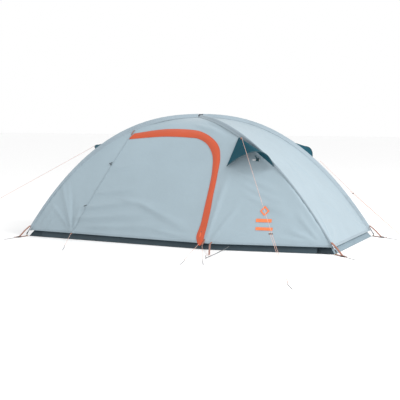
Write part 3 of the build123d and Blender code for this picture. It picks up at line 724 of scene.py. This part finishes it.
def tape(name, side, line, width, proud, material, folds, step=0.012):
    """A flat strip laid on the fly along a line given across and up."""
    points = densify(line, step)
    rows = []
    for i, here in enumerate(points):
        ahead, behind = points[min(i + 1, len(points) - 1)], points[max(i - 1, 0)]
        run = (ahead - behind).normalized()
        aside = Vector((-run.y, run.x)) * width / 2
        row = []
        for w, rise in ((-1, 0.0003), (-0.8, proud), (0, proud * 1.15), (0.8, proud), (1, 0.0003)):
            spot = here + aside * w
            row.append(surface_point(side, spot.x, max(spot.y, 0.004), rise, folds))
        rows.append(row)
    return grid_object(name, rows, material)


HEM_TAPE_WIDTH = 0.016
HEM_TAPE_PROUD = 0.0012


def hem_line(start, end):
    """The middle of the hem's binding, from one place across to another."""
    return [(start, HEM_Z + HEM_TAPE_WIDTH / 2), (end, HEM_Z + HEM_TAPE_WIDTH / 2)]


def build_seams():
    """The door's sewn edge and the bindings of the hem."""
    binding = MATERIALS["binding"]
    half_front, half_end = FRONT.half(HEM_T) - 0.012, LEFT.half(HEM_T) - 0.012
    runs = [
        (FRONT, -half_front, SEAM_FOOT[0] - 0.004, FRONT_FOLDS),
        (FRONT, ZIP_FOOT[0] + 0.006, half_front, FRONT_FOLDS),
        (BACK, -half_front, half_front, BACK_FOLDS),
        (LEFT, -half_end, half_end, END_FOLDS),
        (RIGHT, -half_end, half_end, END_FOLDS),
    ]
    tapes = [
        tape("t", side, hem_line(start, end), HEM_TAPE_WIDTH, HEM_TAPE_PROUD, binding, folds)
        for side, start, end, folds in runs
    ]
    hems = join("hem_binding", tapes)
    place(hems, "tent", "fly_cloth")
    line = hem_line(SEAM_FOOT[0] + 0.004, ZIP_FOOT[0] - 0.03)
    door_hem = tape("door_hem_binding", FRONT, line, HEM_TAPE_WIDTH, HEM_TAPE_PROUD, binding, FRONT_FOLDS)
    seam_blend(door_hem)
    seam = tape("door_seam", FRONT, [SEAM_FOOT, SEAM_HEAD], 0.011, 0.0016, binding, FRONT_FOLDS)
    place(seam, "tent", "fly_cloth")


# ---- flap over the zip ---------------------------------------------------------------------
FLAP_OUTER = [
    (-0.403, 0.834), (-0.159, 0.870), (0.071, 0.868), (0.187, 0.843), (0.281, 0.791), (0.332, 0.733),
    (0.351, 0.653), (0.351, 0.586), (0.350, 0.482), (0.344, 0.393), (0.343, 0.277), (0.336, 0.189),
    (0.327, 0.107), (0.322, 0.056), (0.303, 0.031),
]
FLAP_INNER = [
    (-0.437, 0.789), (-0.152, 0.813), (0.091, 0.807), (0.164, 0.793), (0.218, 0.765), (0.258, 0.724),
    (0.287, 0.668), (0.298, 0.598), (0.304, 0.515), (0.297, 0.391), (0.289, 0.275), (0.282, 0.186),
    (0.262, 0.100), (0.272, 0.060), (0.291, 0.031),
]
FLAP_SHAPE = [  # across the flap, and how far it stands proud
    (0.0, 0.0006), (0.015, 0.0034), (0.06, 0.0040), (0.09, 0.0031), (0.13, 0.0042), (0.3, 0.0072),
    (0.5, 0.0086), (0.7, 0.0074), (0.87, 0.0044), (0.91, 0.0031), (0.94, 0.0040), (0.985, 0.0034),
    (1.0, 0.0006),
]


def build_flap():
    """The orange flap: rolled and stitched at its edges, and raised in the middle by the zip."""
    count = 150
    outer = curve_through([(x, z, 0) for x, z in FLAP_OUTER], count)
    inner = curve_through([(x, z, 0) for x, z in FLAP_INNER], count)
    rows = []
    for i in range(count):
        row = []
        for w, proud in FLAP_SHAPE:
            spot = inner[i].lerp(outer[i], w)
            ripple = 0.0011 * noise.noise(Vector((i * 0.16, w * 1.6, 3.0))) * math.sin(math.pi * w)
            row.append(surface_point(FRONT, spot.x, spot.y, proud + ripple, FRONT_FOLDS))
        rows.append(row)
    flap = grid_object("zip_flap_cloth", rows, MATERIALS["flap_cloth"])
    place(flap, "door", "flap_cloth", "zip_flap")


# ---- sleeves -------------------------------------------------------------------------------
SLEEVE_HALF = 0.026
SLEEVE_OUT = POLE_R + 0.0028


def sleeve_row(t, x_sign, y_sign, lift, wobble):
    """One cross-section of a sleeve, from one panel over the pole to the other."""
    x, y, z = leg(t)
    axis = Vector((x_sign * x, y_sign * y, z * (HEIGHT + lift) / HEIGHT))
    tangent, to_side, to_end, out = pole_frame(t, x_sign, y_sign)
    normals = []
    for way in (to_side, to_end):
        n = tangent.cross(way).normalized()
        normals.append(n if n.dot(out) > 0 else -n)
    rise = lift * z / HEIGHT
    hug = SLEEVE_OUT + wobble
    points = []
    for way, n in ((to_side, normals[0]), (to_end, normals[1])):
        flange = [
            axis + way * SLEEVE_HALF - n * (FLY_INSET - 0.0009 + rise),
            axis + way * (SLEEVE_HALF - 0.003) - n * (FLY_INSET - 0.0024 + rise),
            axis + way * 0.0135 - n * (FLY_INSET * 0.55 + rise * 0.5),
            axis + way * 0.0075 + n * (hug * 0.62),
        ]
        points.append(flange)
    ways = [(normals[0] + out).normalized(), out, (normals[1] + out).normalized()]
    crest = [axis + way * hug for way in ways]
    return points[0] + crest + points[1][::-1]


def build_sleeves():
    """Cloth tunnels sewn over the seams, one along each half of each pole."""
    made = []
    foot = share_at(0.075)
    for x_sign in (-1, 1):
        for y_sign in (-1, 1):
            lift = 0.0 if x_sign * y_sign < 0 else POLE_LIFT
            rows = []
            for k in range(181):
                t = 0.010 + (foot - 0.010) * k / 180
                wobble = 0.0012 * noise.noise(Vector((t * 60, x_sign * 3.0, y_sign * 5.0)))
                rows.append(sleeve_row(t, x_sign, y_sign, lift, wobble))
            made.append(grid_object("s", rows, MATERIALS["sleeve_cloth"]))
    sleeves = join("pole_sleeve_cloth", made)
    place(sleeves, "tent", "sleeve_cloth", "pole_sleeves")


# ---- vent hoods ----------------------------------------------------------------------------
BRIM_MIDDLE = Vector((0.691, -0.554, 0.716))
END_BRIM_MIDDLE = Vector((-0.940, 0.0, 0.722))


def side_raised(side, p, z, lift):
    t = share_at(z)
    return side.raw(p, t) + side.normal(p, t) * lift


def brim_point(w, first, middle, last):
    return first * (w * (w - 1) / 2) + middle * (1 - w * w) + last * (w * (w + 1) / 2)


def hood(name, apex, first, middle, last, sag_way):
    """A hood cloth from its apex to the stiff bow of its brim, slack between them."""
    rows = []
    for i in range(25):
        v = i / 24
        row = []
        for j in range(41):
            w = 2 * j / 40 - 1
            edge = brim_point(w, first, middle, last)
            slack = 0.006 * math.sin(math.pi * v) * (1 - w * w)
            ripple = 0.0025 * noise.noise(Vector((w * 3.2, v * 2.2, 11.0))) * math.sin(math.pi * v)
            row.append(apex.lerp(edge, 0.03 + 0.97 * v) + sag_way * (slack + ripple))
        rows.append(row)
    obj = grid_object(name, rows, MATERIALS["hood_cloth"])
    place(obj, "tent", "hood_cloth", name.replace("hood_cloth", "vent_hood"))


def build_hoods():
    apex = side_raised(FRONT, 0.482, 0.812, 0.001)
    first = side_raised(FRONT, 0.417, 0.600, 0.001)
    last = side_raised(FRONT, 0.786, 0.606, 0.001)
    down = Vector((0, 0.5, -0.6))
    hood("hood_cloth_front", apex, first, BRIM_MIDDLE, last, down)
    flip = [Vector((p.x, -p.y, p.z)) for p in (apex, first, BRIM_MIDDLE, last)]
    hood("hood_cloth_back", *flip, Vector((0, -0.5, -0.6)))
    end_apex = side_raised(LEFT, 0.0, 0.835, 0.001)
    tips = [side_raised(LEFT, sign * 0.235, 0.640, 0.001) for sign in (-1, 1)]
    hood("hood_cloth_end", end_apex, tips[0], END_BRIM_MIDDLE, tips[1], Vector((0.6, 0, -0.5)))


# ---- inner tent ----------------------------------------------------------------------------
INNER_TOP_T = 0.11
INNER_HEM_T = share_at(0.135)
INNER_DOOR = [(-0.38, 0.14), (-0.38, 0.56), (-0.355, 0.65), (-0.29, 0.715), (-0.20, 0.74), (0.02, 0.74),
              (0.11, 0.715), (0.175, 0.65), (0.2, 0.56), (0.2, 0.14)]
INNER_SEAM_UNDER = 0.060
INNER_REACH = 0.055
INNER_FOLDS = [
    (-0.90, 0.16, -0.50, 0.40, 0.03, 0.006), (0.90, 0.16, 0.45, 0.42, 0.03, 0.006),
    (0.30, 0.16, 0.50, 0.45, 0.03, 0.005), (-0.40, 0.16, -0.60, 0.50, 0.03, 0.005),
]


def build_inner():
    fit = (INNER_INSET, INNER_SEAM_UNDER, INNER_REACH)
    pieces = []
    for side in (INNER_FRONT, BACK, LEFT, RIGHT):
        holes = [closed_line(side, INNER_DOOR)] if side is INNER_FRONT else []
        points, fills = region(whole_outline(side, INNER_TOP_T, INNER_HEM_T), holes, 0.022)
        cloth_material = MATERIALS["inner_cloth"]
        pieces.append(mapped(side.name, side, points, fills[0], cloth_material, *fit, INNER_FOLDS))
        if holes:
            door = mapped("inner_door_net", side, points, fills[1], MATERIALS["mesh"], *fit, INNER_FOLDS)
            place(door, "inner_door", "mesh", "inner_door")
    s = BACK.s_at(INNER_TOP_T)
    corners = [cloth_point(BACK, sign * BACK.half(INNER_TOP_T), s, *fit) for sign in (-1, 1)]
    corners += [Vector((c.x, -c.y, c.z)) for c in reversed(corners)]
    pieces.append(new_object("cap", corners, [(0, 1, 2, 3)], MATERIALS["inner_cloth"]))
    canopy = join("inner_canopy", pieces)
    weld(canopy)
    place(canopy, "tent", "inner_cloth", "inner_front", "inner_back", "inner_ends", "inner_crown")


# ---- floor ---------------------------------------------------------------------------------
FLOOR_X, FLOOR_Y = 1.276, 0.540
WALL_TOP_Z = 0.105
WALL_LEAN_X, WALL_LEAN_Y = 0.084, 0.046
PORCH_FLOOR_SHARE = 0.14 / 0.15
PORCH_WALL_TOP_Z, PORCH_WALL_LEAN = 0.064, 0.024


def porch_floor_y(x):
    return -(FLOOR_Y + porch(x, HEM_Z) * PORCH_FLOOR_SHARE)


def floor_ripple(x, y):
    return 0.0011 * (1 + noise.noise(Vector((x * 9, y * 9, 41.0))))


def wall_strip(name, start, end, lean, top_z, material, amplitude=0.0022, taper=0.0):
    """One wall of the floor, from its foot to its top, a little slack along its length."""
    start, end, lean = Vector(start), Vector(end), Vector(lean)
    run = (end - start).normalized()
    count = max(8, int((end - start).length / 0.012))
    rows = []
    for i in range(9):
        v = i / 8
        row = []
        for j in range(count + 1):
            base = start.lerp(end, j / count)
            shift = lean * v + run * taper * v * (1 - 2 * j / count)
            corner = min(j, count - j) / count
            wave = noise.noise(Vector((base.x * 14, base.y * 14, v * 1.5)))
            wave = amplitude * wave * math.sin(math.pi * v)
            wave *= smooth(corner * 12)
            height = Vector((0, 0, 0.001 + (top_z - 0.001) * v))
            row.append(base + shift + lean.normalized() * abs(wave) + height)
        rows.append(row)
    return grid_object(name, rows, material)


def build_floor():
    front_x = [-FLOOR_X, -1.15, 0.30, 0.34, 0.38, 0.43, 1.15, FLOOR_X]
    edge = [(x, porch_floor_y(x) if abs(x) < 1.2 else -FLOOR_Y) for x in front_x]
    outline = densify([(FLOOR_X, FLOOR_Y), (-FLOOR_X, FLOOR_Y)] + edge + [(FLOOR_X, FLOOR_Y)], 0.04)[:-1]
    points, fills = region(outline, [], 0.045)
    verts = [Vector((p.x, p.y, floor_ripple(p.x, p.y))) for p in points]
    sheet = new_object("floor_sheet", verts, [list(f) for f in fills[0]], MATERIALS["floor_cloth"])
    weld(sheet)
    place(sheet, "tent", "floor_cloth", "ground_sheet")
    inset_x, inset_y = FLOOR_X - 0.0015, FLOOR_Y - 0.0015
    dark = MATERIALS["floor_cloth"]
    walls = []
    for sign in (-1, 1):
        ends = [(-inset_x, sign * inset_y, 0), (inset_x, sign * inset_y, 0)]
        lean = (0, -sign * WALL_LEAN_Y, 0)
        walls.append(wall_strip("w", *ends, lean, WALL_TOP_Z, dark, taper=WALL_LEAN_X))
    front = [(x, y + 0.002) for x, y in edge[1:-1]]
    for a, b in zip(front, front[1:]):
        lean = (0, PORCH_WALL_LEAN, 0)
        walls.append(wall_strip("w", (*a, 0), (*b, 0), lean, PORCH_WALL_TOP_Z, dark, 0.0))
    sides = join("floor_side_walls", walls)
    weld(sides, 1e-4)
    place(sides, "tent", "floor_cloth", "floor_wall_front", "floor_wall_back")
    ends = []
    for sign in (-1, 1):
        lean = (-sign * WALL_LEAN_X, 0, 0)
        corners = [(sign * inset_x, y, 0) for y in (-inset_y, inset_y)]
        # the end walls take the lighter copy of the floor cloth: painted light where the side light falls
        pale = MATERIALS["end_wall_painted_light"]
        ends.append(wall_strip("w", *corners, lean, WALL_TOP_Z, pale, taper=WALL_LEAN_Y))
    end_walls = join("floor_end_walls", ends)
    place(end_walls, "tent", "floor_cloth", "floor_wall_left", "floor_wall_right")


# ---- cords ---------------------------------------------------------------------------------
CORD_R = 0.00125
FLOOR_CORD_R = 0.0025
LOOP_Z = 0.010
LOOP_WIDTH = 0.010  # between the two strands of a guyline below its runner
LOOP_BEYOND_PEG = 0.0039
GUYLINES = {  # start at the tent, the point where the line enters its runner, and its peg
    "guyline_front": ((0.520, -0.425, 0.812), (1.086, -1.369, 0.250), (1.345, -1.799)),
    "guyline_left": ((-0.956, 0.0, 0.718), (-1.930, -0.240, 0.178), (-2.256, -0.316)),
    "guyline_right": ((0.850, 0.494, 0.602), (1.110, 0.482, 0.366), (1.548, 0.464)),
}
ROUTES = {
    "door_cord": [(0.300, -0.714, 0.041), (0.366, -0.985, 0.026), (0.426, -1.240, 0.009)],
    "fly_cord": [(0.330, -0.716, 0.041), (0.436, -0.960, 0.026), (0.540, -1.190, 0.009)],
    "seam_cord": [(-0.846, -0.604, 0.044), (-0.758, -0.800, 0.025), (-0.670, -0.985, 0.009)],
    "floor_cord": [(0.522, -0.670, 0.031), (0.524, -0.860, 0.013), (0.529, -1.106, 0.010)],
}


def guyline_route(start, hold, peg):
    """Down to the peg, round it, and back beside itself to the runner."""
    start, hold, stub = Vector(start), Vector(hold), Vector((*peg, LOOP_Z))
    ahead = Vector((stub.x - hold.x, stub.y - hold.y, 0)).normalized()
    aside = Vector((-ahead.y, ahead.x, 0)) * (LOOP_WIDTH / 2)
    turn = stub + ahead * LOOP_BEYOND_PEG
    return [start, hold, turn + aside, turn - aside, hold - aside * 2]


def cord_line(name, points, radius, material):
    curve = bpy.data.curves.new(name, "CURVE")
    curve.dimensions = "3D"
    spline = curve.splines.new("NURBS")
    spline.points.add(len(points) - 1)
    for point, place_at in zip(spline.points, points):
        point.co = (*place_at, 1)
    spline.order_u = 3
    spline.use_endpoint_u = True
    spline.resolution_u = 12
    curve.bevel_depth = radius
    curve.bevel_resolution = 3
    curve.materials.append(material)
    obj = bpy.data.objects.new(name, curve)
    bpy.context.scene.collection.objects.link(obj)
    return obj


def build_cords():
    routes = {name: guyline_route(*ends) for name, ends in GUYLINES.items()}
    routes.update({name: [Vector(p) for p in route] for name, route in ROUTES.items()})
    for name, points in routes.items():
        slot, radius = ("black_cord", FLOOR_CORD_R) if name == "floor_cord" else ("guyline", CORD_R)
        line = cord_line(name + "_line", points, radius, MATERIALS[slot])
        place(line, "tent", slot, name)


# ---- print on the fly ----------------------------------------------------------------------
def patch(name, outline, spacing=0.008):
    """A thin printed shape on the front of the fly, from corners given as X and Z."""
    line = densify(flat(FRONT, outline + outline[:1]), spacing)[:-1]
    points, fills = region(line, [], spacing)
    fit = (FLY_INSET - 0.0026, SEAM_UNDER, SEAM_REACH)
    return mapped(name, FRONT, points, fills[0], MATERIALS["print_orange"], *fit, FRONT_FOLDS)


def rectangle(x0, x1, z0, z1):
    return [(x0, z0), (x1, z0), (x1, z1), (x0, z1)]


def build_print():
    """A plain made-up mark: a hollow square turned on its corner, over two bars."""
    cx, cz, outer, inner = 0.757, 0.292, 0.036, 0.022
    marks = []
    for a in range(4):
        ways = [Vector((math.cos(k * math.pi / 2), math.sin(k * math.pi / 2))) for k in (a, a + 1)]
        corners = [ways[0] * outer, ways[1] * outer, ways[1] * inner, ways[0] * inner]
        marks.append(patch("m", [(cx + c.x, cz + c.y) for c in corners]))
    marks.append(patch("m", rectangle(0.700, 0.815, 0.212, 0.236)))
    marks.append(patch("m", rectangle(0.704, 0.828, 0.155, 0.176)))
    mark = join("fly_print", marks)
    place(mark, "tent", "flap_cloth")


# ---- small fittings ------------------------------------------------------------------------
def strap(name, points, width, across, thickness=0.0014, material="webbing"):
    """A flat strap that follows points, with its width along a given way."""
    across = Vector(across).normalized() * width / 2
    line = curve_through(points, max(12, 8 * len(points)))
    rows = []
    for i, here in enumerate(line):
        run = (line[min(i + 1, len(line) - 1)] - line[max(i - 1, 0)]).normalized()
        up = run.cross(across).normalized() * thickness / 2
        rows.append([here - across - up, here - across + up, here + across + up, here + across - up])
    obj = grid_object(name, rows, MATERIALS[material], closed=True)
    return obj


def tip_place(x_sign, y_sign):
    box_low, box_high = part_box("corner_grommets")
    x = box_high[0] - 0.0085 if x_sign > 0 else box_low[0] + 0.0085
    y = box_high[1] - 0.0085 if y_sign > 0 else box_low[1] + 0.0085
    return Vector((x, y, 0))


CORNER_WAYS = {(1, -1): -45.0, (-1, -1): -98.0, (1, 1): -32.0, (-1, 1): 135.0}


def build_corner_straps():
    """Straps from the corners of the fly down to the buckles on the ground."""
    made = []
    for (x_sign, y_sign), heading in CORNER_WAYS.items():
        x, y, z = leg(share_at(0.082))
        _, _, _, out = pole_frame(share_at(0.082), x_sign, y_sign)
        start = Vector((x_sign * x, y_sign * y, z)) + out * 0.0095
        way = Vector((math.cos(math.radians(heading)), math.sin(math.radians(heading)), 0))
        tip = tip_place(x_sign, y_sign)
        buckle = tip + way * 0.085 + Vector((0, 0, 0.0088))
        knee = start.lerp(buckle, 0.5) + Vector((0, 0, 0.004))
        side = way.cross(Vector((0, 0, 1)))
        made.append(strap("c", [start, knee, buckle, buckle + way * 0.02], 0.016, side))
    straps = join("corner_straps_upper", made)
    weld(straps)
    place(straps, "tent", "webbing")


def build_tabs():
    """Webbing anchors where cords and toggles leave the cloth."""
    made = []
    anchors = [
        (FRONT, 0.492, 0.806, (0.520, -0.425, 0.812)),
        (FRONT, SEAM_FOOT[0], 0.075, ROUTES["seam_cord"][0]),
        (FRONT, 0.330, 0.080, ROUTES["fly_cord"][0]),
        (FRONT, 0.391, 0.080, (0.391, -0.716, 0.045)),
    ]
    for side, p, z, end in anchors:
        start = surface_point(side, p, z, 0.0035)
        middle = surface_point(side, p, max(z - 0.018, 0.05), 0.004)
        made.append(strap("a", [start, middle, Vector(end)], 0.012, (1, 0, 0), 0.0012))
    tabs = join("cord_tabs", made)
    weld(tabs)
    place(tabs, "tent", "webbing")


def build_loop():
    """The small loop at the head of the door's seam, and the pale tab under the brim."""
    top = surface_point(FRONT, -0.411, 0.857, 0.004)
    low = surface_point(FRONT, -0.424, 0.822, 0.004)
    middle = (low + top) / 2 + Vector((0, -0.005, 0))
    loop = strap("seam_head_loop", [low, middle, top], 0.010, (1, 0, 0.3), 0.0016)
    place(loop, "tent", "webbing")
    points = [surface_point(FRONT, x, 0.652, 0.0035) for x in (0.612, 0.640, 0.668)]
    tab = strap("vent_tab", points, 0.012, (0, 0, 1), 0.0014, "tab_white")
    place(tab, "tent", "prop_plastic")


# ---- stage ---------------------------------------------------------------------------------
CAMERA_AZIMUTH, CAMERA_ELEVATION, CAMERA_DISTANCE = 23.62, 7.42, 7.8
FOCAL_PIXELS, IMAGE_PIXELS, SENSOR_MM = 963.6, 400, 36.0
ORIGIN_DOWN_PIXELS = 36.1


def build_camera():
    azimuth, elevation = math.radians(CAMERA_AZIMUTH), math.radians(CAMERA_ELEVATION)
    flat_distance = CAMERA_DISTANCE * math.cos(elevation)
    location = Vector((flat_distance * math.sin(azimuth), -flat_distance * math.cos(azimuth),
                       CAMERA_DISTANCE * math.sin(elevation)))
    data = bpy.data.cameras.new("camera")
    data.lens = FOCAL_PIXELS / IMAGE_PIXELS * SENSOR_MM
    data.sensor_width = SENSOR_MM
    data.shift_y = ORIGIN_DOWN_PIXELS / IMAGE_PIXELS
    camera = bpy.data.objects.new("camera", data)
    bpy.context.scene.collection.objects.link(camera)
    camera.location = location
    camera.rotation_euler = (-location).to_track_quat("-Z", "Y").to_euler()
    bpy.context.scene.camera = camera


def area_light(name, location, target, size, power, colour=(1, 1, 1)):
    data = bpy.data.lights.new(name, "AREA")
    data.shape = "SQUARE"
    data.size = size
    data.energy = power
    data.color = colour
    light = bpy.data.objects.new(name, data)
    bpy.context.scene.collection.objects.link(light)
    light.location = location
    light.rotation_euler = (Vector(target) - Vector(location)).to_track_quat("-Z", "Y").to_euler()


def build_stage():
    material, node = shader("stage_floor", (0.96, 0.96, 0.96), 0.9)
    size = 30.0
    corners = [(-size, -size, 0), (size, -size, 0), (size, size, 0), (-size, size, 0)]
    floor = new_object("stage_floor", corners, [(0, 1, 2, 3)], material, is_smooth=False)
    world = bpy.data.worlds.new("studio")
    world.use_nodes = True
    background = world.node_tree.nodes["Background"]
    background.inputs["Color"].default_value = (1, 1, 1, 1)
    background.inputs["Strength"].default_value = 1.0
    bpy.context.scene.world = world
    area_light("key", (5.7, -1.9, 4.4), (0.4, 0, 0.3), 2.4, 300.0)


build_fly()
build_door()
build_seams()
build_flap()
build_sleeves()
build_hoods()
build_inner()
build_floor()
build_cords()
build_print()
build_corner_straps()
build_tabs()
build_loop()
build_camera()
build_stage()
bpy.context.scene.view_settings.view_transform = "Standard"
